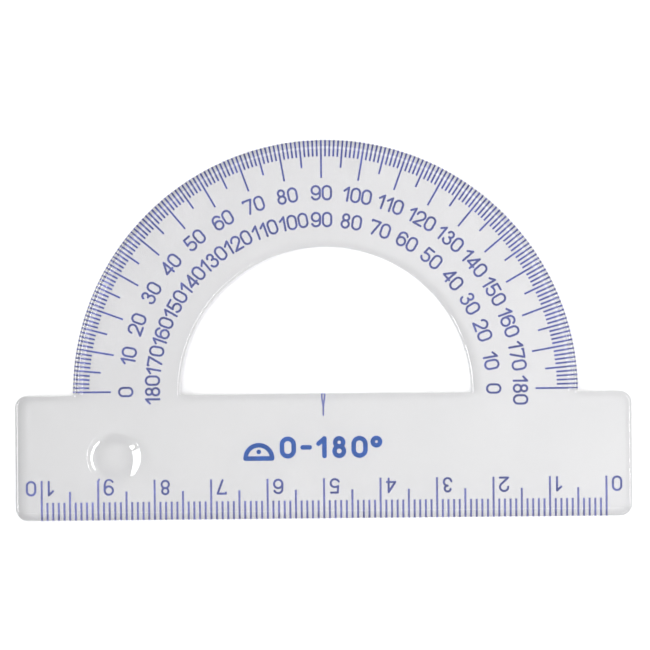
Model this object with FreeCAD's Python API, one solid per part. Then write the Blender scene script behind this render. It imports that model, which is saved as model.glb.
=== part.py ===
import FreeCAD, Part
import math
import os

# Protractor, 180 degrees, with a 10 cm ruling edge.  Millimetres, +Z up.
# The origin is the centre point that angles are measured from, on the underside.
# +X runs along the bar, and +Y goes up through the 90 degree line.
# The plate is one moulding.  All its marks are printed on the underside and read through it.
# Each mark is a thin solid pressed flush into a pocket of its own shape.

Vec = FreeCAD.Vector
UP = Vec(0, 0, 1)

# Plate
THICKNESS = 2.4
BAR_LENGTH = 109.3
BAR_HEIGHT = 22.4
BAR_TOP = -0.4              # the bar's upper edge lies this far below the centre point
CORNER_RADIUS = 2.3
RING_X = 0.42               # the ring's own centre is on the bar's upper edge, slightly to the right
RING_OUTER = 44.82
RING_INNER = 25.6
RIM_LIP_HEIGHT = 1.67       # the rim and the ruling edge step down to thinner lips, over a 45 degree slope
RIM_LIP_WIDTH = 1.13
RULING_LIP_HEIGHT = 2.1
RULING_LIP_WIDTH = 1.35
DIMPLE_X = -37.1            # a finger dimple in the upper face
DIMPLE_Y = -11.5
DIMPLE_RADIUS = 4.77
DIMPLE_FLOOR_RADIUS = 2.4   # its floor is flat
DIMPLE_WALL_CURVE = 5.5     # and this is the radius of the curve that rises from it

# Print
INK_DEPTH = 0.05
DEGREE_LINE_WIDTH = 0.32
RULER_LINE_WIDTH = 0.36
EDGE_MARGIN = 0.12          # the printed lines stop this far short of the edge

# Degree scale
DEGREE_LINE_STARTS = {1: 41.4, 5: 39.5, 10: 37.6}
OUTER_FIGURE_RADIUS = 34.95
INNER_FIGURE_RADIUS = 30.2

# Ruling scale: zero is at the right, and its figures are read from the far side
RULER_ZERO_X = 50.0
RULER_CENTIMETRES = 10
RULER_LINE_TOPS = {1: 3.3, 5: 5.2, 10: 7.2}
RULER_FIGURE_MIDDLE = 5.83
RULER_FIGURE_OFFSET = 1.88

# Figures
FIGURE_HEIGHT = 2.75
FIGURE_WIDTH = 1.85
FIGURE_STROKE = 0.38
FIGURE_PITCH = 1.97
TWO_ONES_PITCH = 1.5        # a 1 that follows a 1 stands closer to it

# Centre mark: a narrow V whose two lines run into one
MARK_STROKE = 0.28
MARK_WIDTH = 0.66
MARK_MEETS = 2.6
MARK_LENGTH = 4.15

# Emblem: a small half-ring sign and the instrument's range
EMBLEM_BASE = -12.0
EMBLEM_SIGN_X = -11.5
EMBLEM_SIGN_RADIUS = 2.35
EMBLEM_STROKE = 0.82
EMBLEM_FIGURE_HEIGHT = 3.9
EMBLEM_FIGURE_WIDTH = 2.9
EMBLEM_LAYOUT = [("0", -6.35), ("-", -3.1), ("1", -0.75), ("8", 2.75), ("0", 6.35), ("ring", 9.35)]
EMBLEM_FIGURES_MIDDLE = -10.1

# Derived places
BAR_BOTTOM = BAR_TOP - BAR_HEIGHT
RING_CENTRE = Vec(RING_X, BAR_TOP, 0)
DIMPLE_WALL_TILT = math.asin((DIMPLE_RADIUS - DIMPLE_FLOOR_RADIUS) / DIMPLE_WALL_CURVE)
DIMPLE_DEPTH = DIMPLE_WALL_CURVE * (1 - math.cos(DIMPLE_WALL_TILT))


# ---- the plate -------------------------------------------------------------------------------

def line(start, end):
    return Part.LineSegment(start, end).toShape()


def arc(start, middle, end):
    return Part.Arc(start, middle, end).toShape()


def slab(edges, height=THICKNESS):
    """A flat solid with its underside at z = 0, inside a closed chain of edges."""
    return Part.Face(Part.Wire(edges)).extrude(Vec(0, 0, height))


def half_disc(radius):
    """The half disc above the bar's upper edge, as a slab of the plate's thickness."""
    left = RING_CENTRE - Vec(radius, 0, 0)
    right = RING_CENTRE + Vec(radius, 0, 0)
    top = RING_CENTRE + Vec(0, radius, 0)
    return slab([line(left, right), arc(right, top, left)])


def bar():
    block = Part.makeBox(BAR_LENGTH, BAR_HEIGHT, THICKNESS, Vec(-BAR_LENGTH / 2, BAR_BOTTOM, 0))
    uprights = [edge for edge in block.Edges if edge.tangentAt(edge.FirstParameter).cross(UP).Length < 0.1]
    return block.makeFillet(CORNER_RADIUS, uprights)


def lip_section(edge_point, inward, lip_height, lip_width):
    """What is taken away above a lip and its step, in the upright plane that inward lies in."""
    outside = edge_point - inward * 0.5
    foot = edge_point + inward * lip_width
    shoulder = foot + inward * (THICKNESS - lip_height)
    low = UP * lip_height
    high = UP * THICKNESS
    corners = [outside + low, foot + low, shoulder + high, outside + high]
    return Part.Face(Part.makePolygon(corners + corners[:1]))


def above_rim_lip():
    rim_start = RING_CENTRE + Vec(RING_OUTER, 0, 0)
    section = lip_section(rim_start, Vec(-1, 0, 0), RIM_LIP_HEIGHT, RIM_LIP_WIDTH)
    return section.revolve(RING_CENTRE, UP, 180)


def above_ruling_lip():
    start = Vec(-BAR_LENGTH / 2 - 1, BAR_BOTTOM, 0)
    section = lip_section(start, Vec(0, 1, 0), RULING_LIP_HEIGHT, RULING_LIP_WIDTH)
    return section.extrude(Vec(BAR_LENGTH + 2, 0, 0))


def dimple():
    """What is taken away for the dimple: a flat floor, and a wall curving up from it to the upper face."""
    half_tilt = DIMPLE_WALL_TILT / 2
    across = DIMPLE_FLOOR_RADIUS + DIMPLE_WALL_CURVE * math.sin(half_tilt)
    up = DIMPLE_WALL_CURVE * (1 - math.cos(half_tilt))
    middle = Vec(DIMPLE_X, DIMPLE_Y, THICKNESS - DIMPLE_DEPTH)
    floor_edge = middle + Vec(DIMPLE_FLOOR_RADIUS, 0, 0)
    rim = middle + Vec(DIMPLE_RADIUS, 0, DIMPLE_DEPTH)
    section = Part.Wire([
        line(middle, floor_edge),
        arc(floor_edge, middle + Vec(across, 0, up), rim),
        line(rim, rim + UP),
        line(rim + UP, middle + UP * (DIMPLE_DEPTH + 1)),
        line(middle + UP * (DIMPLE_DEPTH + 1), middle),
    ])
    return Part.Face(section).revolve(middle, UP, 360)


def plain_plate():
    ring = half_disc(RING_OUTER).cut(half_disc(RING_INNER)).cut(above_rim_lip())
    shaped_bar = bar().cut(above_ruling_lip()).cut(dimple())
    return ring.fuse(shaped_bar).removeSplitter()


# ---- strokes and figures ---------------------------------------------------------------------

def strip(edge, half):
    """The flat strip within half a stroke of a line or an arc, without round ends."""
    if isinstance(edge.Curve, Part.Line):
        start, end = [vertex.Point for vertex in edge.Vertexes]
        side = (end - start).cross(UP).normalize() * half
        return Part.Face(Part.makePolygon([start + side, end + side, end - side, start - side, start + side]))
    centre = edge.Curve.Center
    outer = edge.scaled(1 + half / edge.Curve.Radius, centre)
    inner = edge.scaled(1 - half / edge.Curve.Radius, centre)
    if edge.isClosed():
        return Part.Face(Part.Wire(outer)).cut(Part.Face(Part.Wire(inner)))
    ends = [line(near.Point, far.Point) for near, far in zip(inner.Vertexes, outer.Vertexes)]
    return Part.Face(Part.Wire(Part.sortEdges([outer, inner] + ends)[0]))


def ribbon(path, stroke):
    """A thin solid of constant width along a wire of lines and arcs, with round ends."""
    half = stroke / 2
    pieces = [strip(edge, half).extrude(Vec(0, 0, INK_DEPTH)) for edge in path.Edges]
    if len(path.Edges) > 1 or not path.isClosed():
        pieces += [Part.makeCylinder(half, INK_DEPTH, vertex.Point) for vertex in path.Vertexes]
    return joined(pieces)


def joined(pieces):
    """The pieces as one solid, with no seams between them."""
    whole = pieces[0].fuse(pieces[1:]) if len(pieces) > 1 else pieces[0]
    return whole.removeSplitter().Solids[0]


def polyline(points):
    return Part.makePolygon([Vec(x, y, 0) for x, y in points])


def curve(start, middle, end):
    return arc(*[Vec(x, y, 0) for x, y in (start, middle, end)])


def segment(start, end):
    return line(Vec(start[0], start[1], 0), Vec(end[0], end[1], 0))


def loop(x, y, radius):
    return Part.Wire(Part.makeCircle(radius, Vec(x, y, 0)))


def zero_paths(w, h):
    side = h - w
    return [Part.Wire([
        curve((w, side), (0, h), (-w, side)),
        segment((-w, side), (-w, -side)),
        curve((-w, -side), (0, -h), (w, -side)),
        segment((w, -side), (w, side)),
    ])]


def one_paths(w, h):
    return [polyline([(-0.15 * w, 0.42 * h), (0.85 * w, h), (0.85 * w, -h)])]


def two_paths(w, h):
    shoulder = (0.62 * w, -0.08 * h)
    return [Part.Wire([
        curve((-w, h - w), (0, h), (w, h - w)),
        curve((w, h - w), (0.91 * w, 0.16 * h), shoulder),
        segment(shoulder, (-w, -h)),
        segment((-w, -h), (w, -h)),
    ])]


def three_paths(w, h):
    waist = 0.12 * h
    upper = (h - waist) / 2
    lower = (h + waist) / 2
    diagonal = math.sqrt(0.5)
    return [Part.Wire([
        curve((-upper, h - 0.85 * upper), (-upper * diagonal, h - upper * (1 - diagonal)), (0, h)),
        curve((0, h), (upper, h - upper), (0, waist)),
        curve((0, waist), (lower, waist - lower), (0, -h)),
        curve((0, -h), (-lower * diagonal, lower * (1 - diagonal) - h), (-lower, 0.85 * lower - h)),
    ])]


def four_paths(w, h):
    stem = 0.6 * w
    return [polyline([(stem, -h), (stem, h), (-w, -0.5 * h), (w, -0.5 * h)])]


def five_paths(w, h):
    bowl_top = 0.17 * h
    bowl = (h + bowl_top) / 2
    return [Part.Wire([
        segment((0.85 * w, h), (-0.75 * w, h)),
        segment((-0.75 * w, h), (-0.85 * w, 0.03 * h)),
        curve((-0.85 * w, 0.03 * h), (-0.45 * w, 0.135 * h), (0, bowl_top)),
        curve((0, bowl_top), (bowl, bowl_top - bowl), (0, -h)),
        curve((0, -h), (-0.6 * w, -0.9 * h), (-0.97 * w, -0.66 * h)),
    ])]


def six_paths(w, h):
    side = h - w
    tip = math.radians(25)
    back = Part.Wire([
        segment((-w, -side), (-w, side)),
        curve((-w, side), (0, h), (w * math.cos(tip), side + w * math.sin(tip))),
    ])
    return [loop(0, -side, w), back]


def seven_paths(w, h):
    return [polyline([(-w, 0.86 * h), (-w, h), (w, h), (-0.2 * w, -h)])]


def eight_paths(w, h):
    upper = 0.46 * h
    lower = h - upper
    return [loop(0, h - upper, upper), loop(0, lower - h, lower)]


def nine_paths(w, h):
    return [path.rotated(Vec(0, 0, 0), UP, 180) for path in six_paths(w, h)]


def dash_paths(w, h):
    return [polyline([(-0.6 * w, 0), (0.6 * w, 0)])]


def degree_ring_paths(w, h):
    radius = 0.62 * w
    return [loop(0, h - radius, radius)]


PATHS = {
    "0": zero_paths, "1": one_paths, "2": two_paths, "3": three_paths, "4": four_paths,
    "5": five_paths, "6": six_paths, "7": seven_paths, "8": eight_paths, "9": nine_paths,
    "-": dash_paths, "ring": degree_ring_paths,
}


def glyph(name, width, height, stroke):
    """One printed character as a thin solid, with the middle of its cell at the origin."""
    paths = PATHS[name]((width - stroke) / 2, (height - stroke) / 2)
    return joined([ribbon(path, stroke) for path in paths])


FIGURES = {digit: glyph(digit, FIGURE_WIDTH, FIGURE_HEIGHT, FIGURE_STROKE) for digit in "0123456789"}


def placed(shape, position, turn=0.0):
    """A copy of the shape, turned about Z by turn degrees and then moved."""
    copy = shape.copy()
    copy.Placement = FreeCAD.Placement(position, FreeCAD.Rotation(UP, turn))
    return copy


def cell_offsets(text):
    """The x of each character's cell, with the middle of the whole number at zero."""
    offsets = [0.0]
    for before, after in zip(text, text[1:]):
        pitch = TWO_ONES_PITCH if before == after == "1" else FIGURE_PITCH
        offsets.append(offsets[-1] + pitch)
    middle = offsets[-1] / 2
    return [offset - middle for offset in offsets]


def number(text, position, turn):
    rotation = FreeCAD.Rotation(UP, turn)
    figures = []
    for digit, offset in zip(text, cell_offsets(text)):
        figures.append(placed(FIGURES[digit], position + rotation.multVec(Vec(offset, 0, 0)), turn))
    return figures


# ---- the printed groups ----------------------------------------------------------------------

def direction(angle):
    return Vec(math.cos(math.radians(angle)), math.sin(math.radians(angle)), 0)


def rim_distance(angle):
    """From the centre point to the rim, which is a circle about the ring's own centre."""
    along = direction(angle)
    forward = along.dot(RING_CENTRE)
    return forward + math.sqrt(forward ** 2 - RING_CENTRE.Length ** 2 + RING_OUTER ** 2)


def size_class(count):
    """10, 5 or 1: the coarsest division that this line of a scale belongs to."""
    if count % 10 == 0:
        return 10
    return 5 if count % 5 == 0 else 1


def degree_lines(division):
    start = DEGREE_LINE_STARTS[division]
    lines = []
    for angle in range(0, 181):
        if size_class(angle) == division:
            length = rim_distance(angle) - EDGE_MARGIN - start
            box = Part.makeBox(length, DEGREE_LINE_WIDTH, INK_DEPTH, Vec(start, -DEGREE_LINE_WIDTH / 2, 0))
            lines.append(placed(box, Vec(0, 0, 0), angle))
    return lines


def degree_figures(radius, leftmost, step):
    """Numbers around the ring, upright at the top, from the left end to the right end."""
    figures = []
    for place in range(0, 19):
        angle = 180 - 10 * place
        figures += number(str(leftmost + step * place), direction(angle) * radius, angle - 90)
    return figures


def centre_mark():
    top = BAR_TOP - EDGE_MARGIN
    half = MARK_STROKE / 2
    fork = polyline([
        (-MARK_WIDTH / 2, top - half), (0, BAR_TOP - MARK_MEETS), (MARK_WIDTH / 2, top - half),
    ])
    stem = polyline([(0, BAR_TOP - MARK_MEETS), (0, BAR_TOP - MARK_LENGTH + half)])
    return [joined([ribbon(fork, MARK_STROKE), ribbon(stem, MARK_STROKE)])]


def ruler_lines(division):
    bottom = BAR_BOTTOM + EDGE_MARGIN
    height = RULER_LINE_TOPS[division] - EDGE_MARGIN
    lines = []
    for count in range(0, 10 * RULER_CENTIMETRES + 1):
        if size_class(count) == division:
            corner = Vec(RULER_ZERO_X - count - RULER_LINE_WIDTH / 2, bottom, 0)
            lines.append(Part.makeBox(RULER_LINE_WIDTH, height, INK_DEPTH, corner))
    return lines


def ruler_figures():
    """One figure beside each centimetre line, and the two of 10 on both sides of theirs."""
    middle = BAR_BOTTOM + RULER_FIGURE_MIDDLE
    figures = []
    for count in range(0, RULER_CENTIMETRES):
        x = RULER_ZERO_X - 10 * count + RULER_FIGURE_OFFSET
        figures += number(str(count), Vec(x, middle, 0), 180)
    last = RULER_ZERO_X - 10 * RULER_CENTIMETRES
    figures += number("1", Vec(last + RULER_FIGURE_OFFSET, middle, 0), 180)
    figures += number("0", Vec(last - RULER_FIGURE_OFFSET, middle, 0), 180)
    return figures


def emblem():
    radius = EMBLEM_SIGN_RADIUS
    base = EMBLEM_BASE
    ring = Part.Wire([
        curve((EMBLEM_SIGN_X + radius, base), (EMBLEM_SIGN_X, base + radius), (EMBLEM_SIGN_X - radius, base)),
        segment((EMBLEM_SIGN_X - radius, base), (EMBLEM_SIGN_X + radius, base)),
    ])
    solids = [ribbon(ring, EMBLEM_STROKE)]
    pointer = Part.makeCylinder(EMBLEM_STROKE / 2, INK_DEPTH, Vec(EMBLEM_SIGN_X, base + radius * 0.5, 0))
    solids.append(pointer)
    for name, x in EMBLEM_LAYOUT:
        character = glyph(name, EMBLEM_FIGURE_WIDTH, EMBLEM_FIGURE_HEIGHT, EMBLEM_STROKE)
        solids.append(placed(character, Vec(x, EMBLEM_FIGURES_MIDDLE, 0)))
    return solids


# ---- the files -------------------------------------------------------------------------------

def printed_groups():
    return {
        "degree_lines_1": degree_lines(1),
        "degree_lines_5": degree_lines(5),
        "degree_lines_10": degree_lines(10),
        "outer_degree_figures": degree_figures(OUTER_FIGURE_RADIUS, 0, 10),
        "inner_degree_figures": degree_figures(INNER_FIGURE_RADIUS, 180, -10),
        "centre_mark": centre_mark(),
        "millimetre_lines": ruler_lines(1),
        "half_centimetre_lines": ruler_lines(5),
        "centimetre_lines": ruler_lines(10),
        "centimetre_figures": ruler_figures(),
        "printed_emblem": emblem(),
    }


def main():
    os.makedirs("parts", exist_ok=True)
    groups = printed_groups()
    marks = [mark for group in groups.values() for mark in group]
    plate = plain_plate().cut(marks)
    plate.exportStep("parts/moulded_plate.step")
    for name, group in groups.items():
        Part.makeCompound(group).exportStep("parts/" + name + ".step")
    print("plate: solids", len(plate.Solids), "valid", plate.isValid(), "volume", round(plate.Volume, 1))
    print("marks:", len(marks), "volume", round(sum(mark.Volume for mark in marks), 3))


main()
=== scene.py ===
import math

import bpy
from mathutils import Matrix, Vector
from mathutils.geometry import tessellate_polygon

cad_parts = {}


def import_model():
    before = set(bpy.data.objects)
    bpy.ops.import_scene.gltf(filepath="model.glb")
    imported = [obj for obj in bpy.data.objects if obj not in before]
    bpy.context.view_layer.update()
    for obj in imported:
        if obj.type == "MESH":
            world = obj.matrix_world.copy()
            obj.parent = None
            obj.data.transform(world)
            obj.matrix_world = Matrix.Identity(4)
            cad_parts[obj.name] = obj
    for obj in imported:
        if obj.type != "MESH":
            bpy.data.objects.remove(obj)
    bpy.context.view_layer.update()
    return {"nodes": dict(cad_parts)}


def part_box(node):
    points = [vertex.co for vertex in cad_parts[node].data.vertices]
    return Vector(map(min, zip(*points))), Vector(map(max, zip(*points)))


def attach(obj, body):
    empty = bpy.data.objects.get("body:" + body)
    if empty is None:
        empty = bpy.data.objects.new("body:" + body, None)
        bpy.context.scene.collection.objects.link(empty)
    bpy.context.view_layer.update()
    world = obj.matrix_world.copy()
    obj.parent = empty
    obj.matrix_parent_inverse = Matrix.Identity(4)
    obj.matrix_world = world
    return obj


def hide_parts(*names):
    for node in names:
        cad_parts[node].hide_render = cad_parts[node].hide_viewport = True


# A clear plastic protractor lying on a pale floor, seen from straight above.
# Lengths are in millimetres where the plate's shape is worked out; MM turns them into metres.
MM = 0.001

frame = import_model()

# ---- the plate's shape, as in the CAD model ---------------------------------------------------

plate_low, plate_high = (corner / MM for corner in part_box("moulded_plate"))
BAR_TOP = -0.4
BAR_BOTTOM = plate_low.y
BAR_LEFT = plate_low.x
BAR_RIGHT = plate_high.x
TOP_Z = plate_high.z
CORNER_RADIUS = 2.3
RING_X = 0.42
RING_OUTER = plate_high.y - BAR_TOP
RING_INNER = 25.6
STEP_TILT = math.radians(45)    # the rim and the ruled edge step down to thinner lips
DIMPLE = Vector((-37.1, -11.5))
DIMPLE_RADIUS = 4.77
DIMPLE_FLOOR = 2.4          # radius of its flat floor
DIMPLE_WALL = 5.5           # radius of the curve that rises from the floor to the upper face
DIMPLE_DEPTH = DIMPLE_WALL - math.sqrt(DIMPLE_WALL ** 2 - (DIMPLE_RADIUS - DIMPLE_FLOOR) ** 2)

UNDERSIDE_Z = 0.012         # the ink stands this much proud of the plate's underside
EDGE_ROUND = 0.62           # radius of the moulded upper edge
UNDER_ROUND = 0.4           # and of the lower one, whose curve shows as a thin dark line from above
DRAFT = 0.08                # the side walls lean inwards by this much, as in any moulding
DIMPLE_ROUND = 0.06         # height over which the dimple blends into the flat
DIMPLE_REACH = 0.9          # the wall's curve is followed for this share of its radius, well past the brim
RUN_OUT = 0.25              # the rim's step dies away over this length where it meets the bar

# how finely the outlines are cut
CORNER_STEPS = 16
RIM_STEPS = 360
OPENING_STEPS = 240
RUN_OUT_ANGLE = 0.6         # the rim's first and last 0.6 degrees, where its step runs out, are cut more finely
RUN_OUT_STEPS = 8
DIMPLE_STEPS = 180
ROUND_STEP = 9              # degrees of the upper edge's curve between loops
UNDER_ROUND_STEP = 6        # and of the lower edge's
SLOPE_STEPS = 28            # loops across the rim's step
SHARP_ANGLE = 32            # faces that meet at more than this many degrees keep a hard edge


def soft_min(a, b, blend):
    """The smaller of two heights, with a round blend where they are nearly equal."""
    overlap = max(blend - abs(a - b), 0.0) / blend
    return min(a, b) - overlap * overlap * blend / 4


def smooth_step(t):
    t = min(max(t, 0.0), 1.0)
    return t * t * (3 - 2 * t)


class Lip:
    """The upper face near a stepped edge: a flat lip, a round foot, a slope, a round shoulder, then the full height."""

    def __init__(self, height, width, foot, shoulder):
        self.height, self.width, self.foot, self.shoulder = height, width, foot, shoulder
        self.foot_run = foot * math.sin(STEP_TILT)
        self.foot_rise = foot * (1 - math.cos(STEP_TILT))
        self.shoulder_run = shoulder * math.sin(STEP_TILT)
        shoulder_rise = shoulder * (1 - math.cos(STEP_TILT))
        slope_run = (TOP_Z - height - self.foot_rise - shoulder_rise) / math.tan(STEP_TILT)
        self.end = width + self.foot_run + slope_run + self.shoulder_run

    def height_at(self, inside):
        up_foot = inside - self.width
        to_flat = self.end - inside
        if up_foot <= 0:
            return self.height
        if to_flat <= 0:
            return TOP_Z
        if up_foot < self.foot_run:
            return self.height + self.foot - math.sqrt(self.foot ** 2 - up_foot ** 2)
        if to_flat < self.shoulder_run:
            return TOP_Z - self.shoulder + math.sqrt(self.shoulder ** 2 - to_flat ** 2)
        return self.height + self.foot_rise + (up_foot - self.foot_run) * math.tan(STEP_TILT)


RIM_LIP = Lip(height=1.67, width=0.92, foot=0.5, shoulder=0.2)
RULING_LIP = Lip(height=2.1, width=1.25, foot=0.25, shoulder=0.15)


def plate_height(x, y, from_edge):
    """Height of the upper face at a point that is from_edge inside the outline."""
    height = RULING_LIP.height_at(y - BAR_BOTTOM)
    if y > BAR_TOP:
        stepped = RIM_LIP.height_at(RING_OUTER - math.hypot(x - RING_X, y - BAR_TOP))
        height += (stepped - height) * smooth_step((y - BAR_TOP) / RUN_OUT)
    up_wall = max((Vector((x, y)) - DIMPLE).length - DIMPLE_FLOOR, 0.0)
    if up_wall < DIMPLE_REACH * DIMPLE_WALL:
        dish = TOP_Z - DIMPLE_DEPTH + DIMPLE_WALL - math.sqrt(DIMPLE_WALL ** 2 - up_wall ** 2)
        height = soft_min(height, dish, DIMPLE_ROUND)
    short = DRAFT + EDGE_ROUND - from_edge
    if short > 0:
        height -= EDGE_ROUND - math.sqrt(max(EDGE_ROUND ** 2 - short ** 2, 0.0))
    return height


def arc_points(x, y, radius, start, end, steps):
    """Points on an arc, from one angle to the other in degrees, both ends included."""
    angles = [math.radians(start + (end - start) * i / steps) for i in range(steps + 1)]
    return [(x + radius * math.cos(a), y + radius * math.sin(a)) for a in angles]


def outline(inset):
    """The plate's outer outline moved inwards, counter-clockwise, always with the same number of points."""
    left, right = BAR_LEFT + inset, BAR_RIGHT - inset
    bottom, top = BAR_BOTTOM + inset, BAR_TOP - inset
    radius = CORNER_RADIUS - inset
    rim = RING_OUTER - inset
    points = []
    points += arc_points(left + radius, bottom + radius, radius, 180, 270, CORNER_STEPS)
    points += arc_points(right - radius, bottom + radius, radius, 270, 360, CORNER_STEPS)
    points += arc_points(right - radius, top - radius, radius, 0, 90, CORNER_STEPS)
    # the rim starts on the bar's moved edge, a little below the ring's own centre
    below = math.degrees(math.asin(inset / rim))
    points += arc_points(RING_X, BAR_TOP, rim, -below, RUN_OUT_ANGLE, RUN_OUT_STEPS)
    points += arc_points(RING_X, BAR_TOP, rim, RUN_OUT_ANGLE, 180 - RUN_OUT_ANGLE, RIM_STEPS)[1:-1]
    points += arc_points(RING_X, BAR_TOP, rim, 180 - RUN_OUT_ANGLE, 180 + below, RUN_OUT_STEPS)
    points += arc_points(left + radius, top - radius, radius, 90, 180, CORNER_STEPS)
    return points[:-1]


def opening(inset):
    """The half-disc opening's outline moved into the plate, clockwise."""
    radius = RING_INNER + inset
    bottom = BAR_TOP - inset
    below = math.degrees(math.asin(inset / radius))
    return arc_points(RING_X, BAR_TOP, radius, 180 + below, -below, OPENING_STEPS)


def ring_of(centre, radius, steps):
    return arc_points(centre.x, centre.y, radius, 0, 360, steps)[:-1]


class Skin:
    """Vertices and faces of one closed mesh, in metres."""

    def __init__(self):
        self.points = []
        self.faces = []

    def loop(self, points, heights):
        first = len(self.points)
        self.points += [(x * MM, y * MM, z * MM) for (x, y), z in zip(points, heights)]
        return list(range(first, len(self.points)))

    def band(self, low, high):
        """Quads between two closed loops with equally many points."""
        count = len(low)
        for i in range(count):
            j = (i + 1) % count
            self.faces.append((low[i], low[j], high[j], high[i]))

    def fill(self, loops, upwards):
        """Flat triangles inside the first loop and outside the others."""
        rows = [[Vector(self.points[i]) for i in loop] for loop in loops]
        flat = [i for loop in loops for i in loop]
        for corners in tessellate_polygon(rows):
            a, b, c = [flat[i] for i in corners]
            ab = Vector(self.points[b]) - Vector(self.points[a])
            ac = Vector(self.points[c]) - Vector(self.points[a])
            turned = ab.cross(ac).z > 0
            self.faces.append((a, b, c) if turned == upwards else (a, c, b))


def inset_loops(skin, shape, insets):
    """One loop for each inset, from the edge inwards, each joined to the one before."""
    loops = []
    for inset in insets:
        points = shape(inset)
        loops.append(skin.loop(points, [plate_height(x, y, inset) for x, y in points]))
    for outer, inner in zip(loops, loops[1:]):
        skin.band(outer, inner)
    return loops[0], loops[-1]


def under_loops(skin, shape, wall):
    """The rounded lower edge: loops from the foot of the wall in to the flat underside."""
    above = wall
    for a in range(0, 91, UNDER_ROUND_STEP):
        inset = UNDER_ROUND * (1 - math.cos(math.radians(a)))
        rise = UNDER_ROUND * (1 - math.sin(math.radians(a)))
        points = shape(inset)
        below = skin.loop(points, [UNDERSIDE_Z + rise] * len(points))
        skin.band(below, above)
        above = below
    return above


ROUND_INSETS = [DRAFT + EDGE_ROUND * (1 - math.cos(math.radians(a))) for a in range(0, 91, ROUND_STEP)]
SLOPE_RUN = RIM_LIP.end - RIM_LIP.width
STEP_INSETS = (
    [0.85]
    + [RIM_LIP.width + SLOPE_RUN * i / SLOPE_STEPS for i in range(SLOPE_STEPS + 1)]
    + [RIM_LIP.end + 0.1]
)
# two loops on the floor, loops up the wall, and closer ones over the brim
DIMPLE_RADII = [1.0, 2.0] + [2.4 + 0.1 * i for i in range(21)] + [4.5 + 0.03 * i for i in range(24)] + [5.3]
IN_THE_FLAT = 1.0           # any distance from the outline at which the edge's curve is over


def plate_mesh():
    skin = Skin()
    rim, rim_flat = inset_loops(skin, outline, ROUND_INSETS + STEP_INSETS)
    hole, hole_flat = inset_loops(skin, opening, ROUND_INSETS)
    rings = []
    for radius in reversed(DIMPLE_RADII):
        points = ring_of(DIMPLE, radius, DIMPLE_STEPS)
        rings.append(skin.loop(points, [plate_height(x, y, IN_THE_FLAT) for x, y in points]))
    for outer, inner in zip(rings, rings[1:]):
        skin.band(outer, inner)
    skin.faces.append(tuple(rings[-1]))
    skin.fill([rim_flat, hole_flat, rings[0]], upwards=True)
    rim_under = under_loops(skin, outline, rim)
    hole_under = under_loops(skin, opening, hole)
    skin.fill([rim_under, hole_under], upwards=False)
    mesh = bpy.data.meshes.new("clear_plate")
    mesh.from_pydata(skin.points, [], skin.faces)
    mesh.validate()
    mesh.shade_smooth()
    mesh.set_sharp_from_angle(angle=math.radians(SHARP_ANGLE))
    return mesh


plate = bpy.data.objects.new("clear_plate", plate_mesh())
bpy.context.scene.collection.objects.link(plate)
weigh = plate.modifiers.new("flat_faces_stay_flat", "WEIGHTED_NORMAL")
weigh.keep_sharp = True
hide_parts("moulded_plate")
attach(plate, "root")


# ---- materials --------------------------------------------------------------------------------

def new_material(name):
    material = bpy.data.materials.new(name)
    material.use_nodes = True
    nodes = material.node_tree.nodes
    return material, nodes, material.node_tree.links, nodes["Principled BSDF"]


def noise(nodes, links, scale, detail, stretch=(1, 1, 1), turn=0.0):
    """Noise fixed to the object; scale is in cycles per metre."""
    place = nodes.new("ShaderNodeTexCoord")
    mapping = nodes.new("ShaderNodeMapping")
    mapping.inputs["Rotation"].default_value = (0, 0, turn)
    mapping.inputs["Scale"].default_value = stretch
    pattern = nodes.new("ShaderNodeTexNoise")
    pattern.inputs["Scale"].default_value = scale
    pattern.inputs["Detail"].default_value = detail
    links.new(place.outputs["Object"], mapping.inputs["Vector"])
    links.new(mapping.outputs["Vector"], pattern.inputs["Vector"])
    return pattern.outputs["Fac"]


def ranged(nodes, links, value, from_low, from_high, low, high):
    node = nodes.new("ShaderNodeMapRange")
    for socket, number in zip(("From Min", "From Max", "To Min", "To Max"), (from_low, from_high, low, high)):
        node.inputs[socket].default_value = number
    links.new(value, node.inputs["Value"])
    return node.outputs["Result"]


def blended(nodes, links, factor, first, second):
    node = nodes.new("ShaderNodeMix")
    node.data_type = "RGBA"
    node.inputs["A"].default_value = (*first, 1)
    node.inputs["B"].default_value = (*second, 1)
    links.new(factor, node.inputs["Factor"])
    return node.outputs["Result"]


def combined(nodes, links, operation, first, second):
    node = nodes.new("ShaderNodeMath")
    node.operation = operation
    links.new(first, node.inputs[0])
    links.new(second, node.inputs[1])
    return node.outputs["Value"]


PLASTIC_IOR = 1.59
PLASTIC_TINT = (0.727, 0.726, 0.731)
PLASTIC_TINT_THICK = (0.714, 0.714, 0.720)


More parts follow.
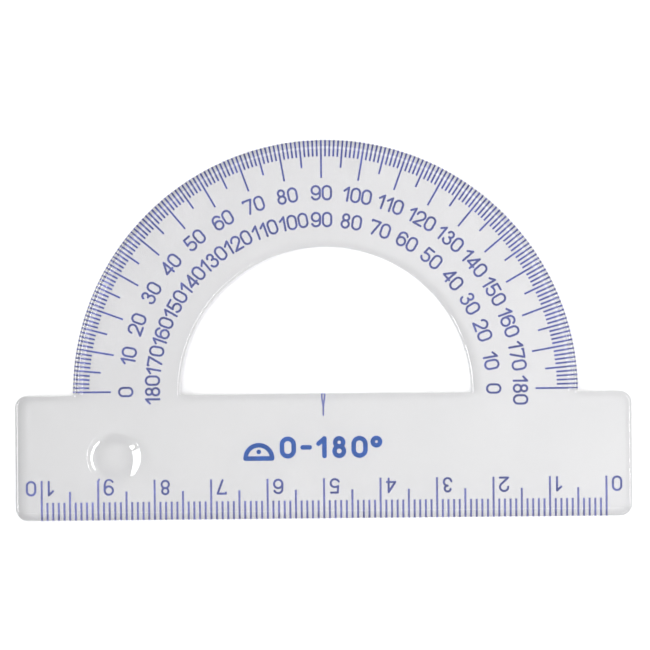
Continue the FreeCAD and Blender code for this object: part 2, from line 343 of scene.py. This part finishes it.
def clear_plastic():
    """Clear polystyrene: a faintly uneven tint, polished faces, and fine scratches from use."""
    material, nodes, links, shader = new_material("clear_polystyrene")
    tint = ranged(nodes, links, noise(nodes, links, 70, 3), 0.35, 0.65, 0, 1)
    links.new(blended(nodes, links, tint, PLASTIC_TINT, PLASTIC_TINT_THICK), shader.inputs["Base Color"])
    polish = ranged(nodes, links, noise(nodes, links, 300, 4), 0.3, 0.7, 0.012, 0.03)
    along = ranged(nodes, links, noise(nodes, links, 2500, 2, (0.03, 1, 1), 0.35), 0.70, 0.74, 0, 0.1)
    across = ranged(nodes, links, noise(nodes, links, 2500, 2, (0.03, 1, 1), 1.9), 0.70, 0.74, 0, 0.1)
    scratches = combined(nodes, links, "MAXIMUM", along, across)
    links.new(combined(nodes, links, "MAXIMUM", polish, scratches), shader.inputs["Roughness"])
    shader.inputs["Transmission Weight"].default_value = 1.0
    shader.inputs["IOR"].default_value = PLASTIC_IOR
    shader.inputs["Coat Weight"].default_value = 1.0
    shader.inputs["Coat IOR"].default_value = PLASTIC_IOR
    shader.inputs["Coat Roughness"].default_value = 0.02
    return material


INK_THIN = 1.22             # thin ink is lighter than its nominal colour by this factor
INK_LIFT = 0.02             # and by this much more in every channel
INK_THICK = 0.86            # thick ink is darker by this factor


def printing_ink(name, colour):
    """Ink that lies a little thinner in some places, with a fine grain."""
    material, nodes, links, shader = new_material(name)
    grain = noise(nodes, links, 4000, 2)
    density = noise(nodes, links, 350, 2)
    both = combined(nodes, links, "ADD", grain, density)
    thin = tuple(min(INK_THIN * part + INK_LIFT, 1.0) for part in colour)
    thick = tuple(INK_THICK * part for part in colour)
    where = ranged(nodes, links, both, 0.75, 1.25, 0, 1)
    links.new(blended(nodes, links, where, thick, thin), shader.inputs["Base Color"])
    links.new(ranged(nodes, links, grain, 0.3, 0.7, 0.42, 0.6), shader.inputs["Roughness"])
    return material


plate.data.materials.append(clear_plastic())
figure_ink = printing_ink("figure_ink", (0.15, 0.19, 0.62))
degree_line_ink = printing_ink("degree_line_ink", (0.145, 0.19, 0.70))
ruler_line_ink = printing_ink("ruler_line_ink", (0.285, 0.315, 0.82))
emblem_ink = printing_ink("emblem_ink", (0.005, 0.16, 0.74))
INKS = {
    "degree_lines_1": degree_line_ink, "degree_lines_5": degree_line_ink, "degree_lines_10": degree_line_ink,
    "centre_mark": ruler_line_ink, "millimetre_lines": ruler_line_ink,
    "half_centimetre_lines": ruler_line_ink, "centimetre_lines": ruler_line_ink,
    "outer_degree_figures": figure_ink, "inner_degree_figures": figure_ink, "centimetre_figures": figure_ink,
    "printed_emblem": emblem_ink,
}
for name, node in frame["nodes"].items():
    if name != "moulded_plate":
        ink = INKS[name]
        node.data.materials.clear()
        node.data.materials.append(ink)


# ---- floor, light and camera ------------------------------------------------------------------

FLOOR_REACH = 4.0           # metres from the middle to each side
FLOOR_Z = -0.00001
PAPER_DARK = (0.785, 0.785, 0.785)
PAPER_LIGHT = (0.81, 0.81, 0.81)
GLOW_REACH = 0.055          # the floor's glow, painted light, rises from left to right across the plate
GLOW_LEFT = 0.25
GLOW_RIGHT = 0.44


def floor():
    """White paper. A faint glow of painted light, not a lamp, lightens it under the plate, more towards the right."""
    mesh = bpy.data.meshes.new("floor")
    low, high = -FLOOR_REACH, FLOOR_REACH
    corners = [(low, low, FLOOR_Z), (high, low, FLOOR_Z), (high, high, FLOOR_Z), (low, high, FLOOR_Z)]
    mesh.from_pydata(corners, [], [(0, 1, 2, 3)])
    material, nodes, links, shader = new_material("floor_paper")
    fibres = ranged(nodes, links, noise(nodes, links, 2200, 5), 0.3, 0.7, 0, 1)
    links.new(blended(nodes, links, fibres, PAPER_DARK, PAPER_LIGHT), shader.inputs["Base Color"])
    shader.inputs["Roughness"].default_value = 1.0
    shader.inputs["Emission Color"].default_value = (1, 1, 1, 1)
    place = nodes.new("ShaderNodeNewGeometry")
    split = nodes.new("ShaderNodeSeparateXYZ")
    links.new(place.outputs["Position"], split.inputs[0])
    # painted light: the paper's emission, stronger towards the right
    glow = ranged(nodes, links, split.outputs["X"], -GLOW_REACH, GLOW_REACH, GLOW_LEFT, GLOW_RIGHT)
    links.new(glow, shader.inputs["Emission Strength"])
    shader.inputs["Specular IOR Level"].default_value = 0.0
    mesh.materials.append(material)
    obj = bpy.data.objects.new("floor", mesh)
    bpy.context.scene.collection.objects.link(obj)


def softbox(name, tilt, azimuth, across, tall, radiance, shine, shift=0.0):
    """A rectangular light 1 m away, tilt degrees from straight above; tall is along the tilt.

    It either shines in the glossy faces only, or lights the scene without being mirrored in them.
    """
    light = bpy.data.lights.new(name, "AREA")
    light.shape = "RECTANGLE"
    light.size = across
    light.size_y = tall
    light.energy = radiance * math.pi * across * tall
    obj = bpy.data.objects.new(name, light)
    t, a = math.radians(tilt), math.radians(azimuth)
    direction = Vector((math.sin(t) * math.cos(a), math.sin(t) * math.sin(a), math.cos(t)))
    obj.location = direction + Vector((-math.sin(a), math.cos(a), 0)) * shift
    obj.rotation_euler = direction.to_track_quat("Z", "Y").to_euler()
    obj.visible_camera = False
    obj.visible_glossy = shine
    obj.visible_diffuse = not shine
    obj.visible_transmission = not shine
    bpy.context.scene.collection.objects.link(obj)


SKY = 1.15
SKY_BEGINS = 0.45           # height of the direction at which the horizon has given way to the even sky
HORIZON_DARK = 0.05
HORIZON_BRIGHT = 2.0
HORIZON_TILT = 0.85         # how far the horizon changes from side to side, and from below to above
HORIZON_LIMIT = 0.9
MIRRORED_HORIZON = 0.1
MIRRORED_SKY = 0.48
MIRRORED_SKY_BEGINS = 0.8


def world():
    """An even sky over a horizon that is bright on the upper left and dark on the lower right.

    Polished faces mirror a dimmer sky, as if most of the light came from lamps out of their reach.
    """
    sky = bpy.data.worlds.new("studio")
    sky.use_nodes = True
    background = sky.node_tree.nodes["Background"]
    background.inputs["Color"].default_value = (1, 1, 1, 1)
    nodes, links = sky.node_tree.nodes, sky.node_tree.links
    place = nodes.new("ShaderNodeTexCoord")
    split = nodes.new("ShaderNodeSeparateXYZ")
    links.new(place.outputs["Generated"], split.inputs[0])
    across = ranged(nodes, links, split.outputs["X"], -1, 1, HORIZON_TILT, -HORIZON_TILT)
    upwards = ranged(nodes, links, split.outputs["Y"], -1, 1, -HORIZON_TILT, HORIZON_TILT)
    side = combined(nodes, links, "ADD", across, upwards)
    horizon = ranged(nodes, links, side, -HORIZON_LIMIT, HORIZON_LIMIT, HORIZON_DARK, HORIZON_BRIGHT)
    height = ranged(nodes, links, split.outputs["Z"], 0, SKY_BEGINS, 0, 1)
    lit = nodes.new("ShaderNodeMix")
    lit.inputs["B"].default_value = SKY
    links.new(height, lit.inputs["Factor"])
    links.new(horizon, lit.inputs["A"])
    ray = nodes.new("ShaderNodeLightPath")
    mirrored = combined(nodes, links, "SUBTRACT", ray.outputs["Is Glossy Ray"], ray.outputs["Is Transmission Ray"])
    seen = nodes.new("ShaderNodeMix")
    links.new(ranged(nodes, links, mirrored, 0, 1, 0, 1), seen.inputs["Factor"])
    links.new(lit.outputs["Result"], seen.inputs["A"])
    dimmer = ranged(nodes, links, split.outputs["Z"], 0, MIRRORED_SKY_BEGINS, MIRRORED_HORIZON, MIRRORED_SKY)
    links.new(dimmer, seen.inputs["B"])
    links.new(seen.outputs["Result"], background.inputs["Strength"])
    bpy.context.scene.world = sky


FRAME_WIDTH = 115.25        # width of the view on the floor
VIEW_CENTRE = (0.44, 11.53)
PLATE_TURN = 0.545          # the plate lies turned counter-clockwise by this many degrees
LENS = 200.0
SENSOR = 36.0
CLIP_START = 0.01


def camera():
    data = bpy.data.cameras.new("camera")
    data.lens = LENS
    data.sensor_width = SENSOR
    data.clip_start = CLIP_START
    obj = bpy.data.objects.new("camera", data)
    distance = FRAME_WIDTH * LENS / SENSOR
    obj.location = (VIEW_CENTRE[0] * MM, VIEW_CENTRE[1] * MM, distance * MM)
    obj.rotation_euler = (0, 0, math.radians(-PLATE_TURN))
    bpy.context.scene.collection.objects.link(obj)
    bpy.context.scene.camera = obj


floor()
world()
softbox("left_fill", tilt=55, azimuth=180, across=1.2, tall=0.18, radiance=6.5, shine=False)
# the light marks in the dimple's right wall and along the rim's left half
softbox("left_shine", tilt=38, azimuth=200, across=0.79, tall=0.48, radiance=5.0, shine=True, shift=-0.395)
softbox("left_shine_low", tilt=33, azimuth=208, across=0.08, tall=0.28, radiance=8.0, shine=True)
# a row of small lights on an arc gives the crescents in the dimple's left wall, which fade towards their ends
for i in range(-5, 6):
    softbox("right_shine_%d" % (i + 6), tilt=26.5, azimuth=9 * i - 12.5, across=0.073, tall=0.14,
            radiance=8.0 - 0.8 * abs(i), shine=True)
camera()
bpy.context.scene.view_settings.view_transform = "Standard"
bpy.context.scene.cycles.blur_glossy = 0.0    # light through clear plastic isn't softened
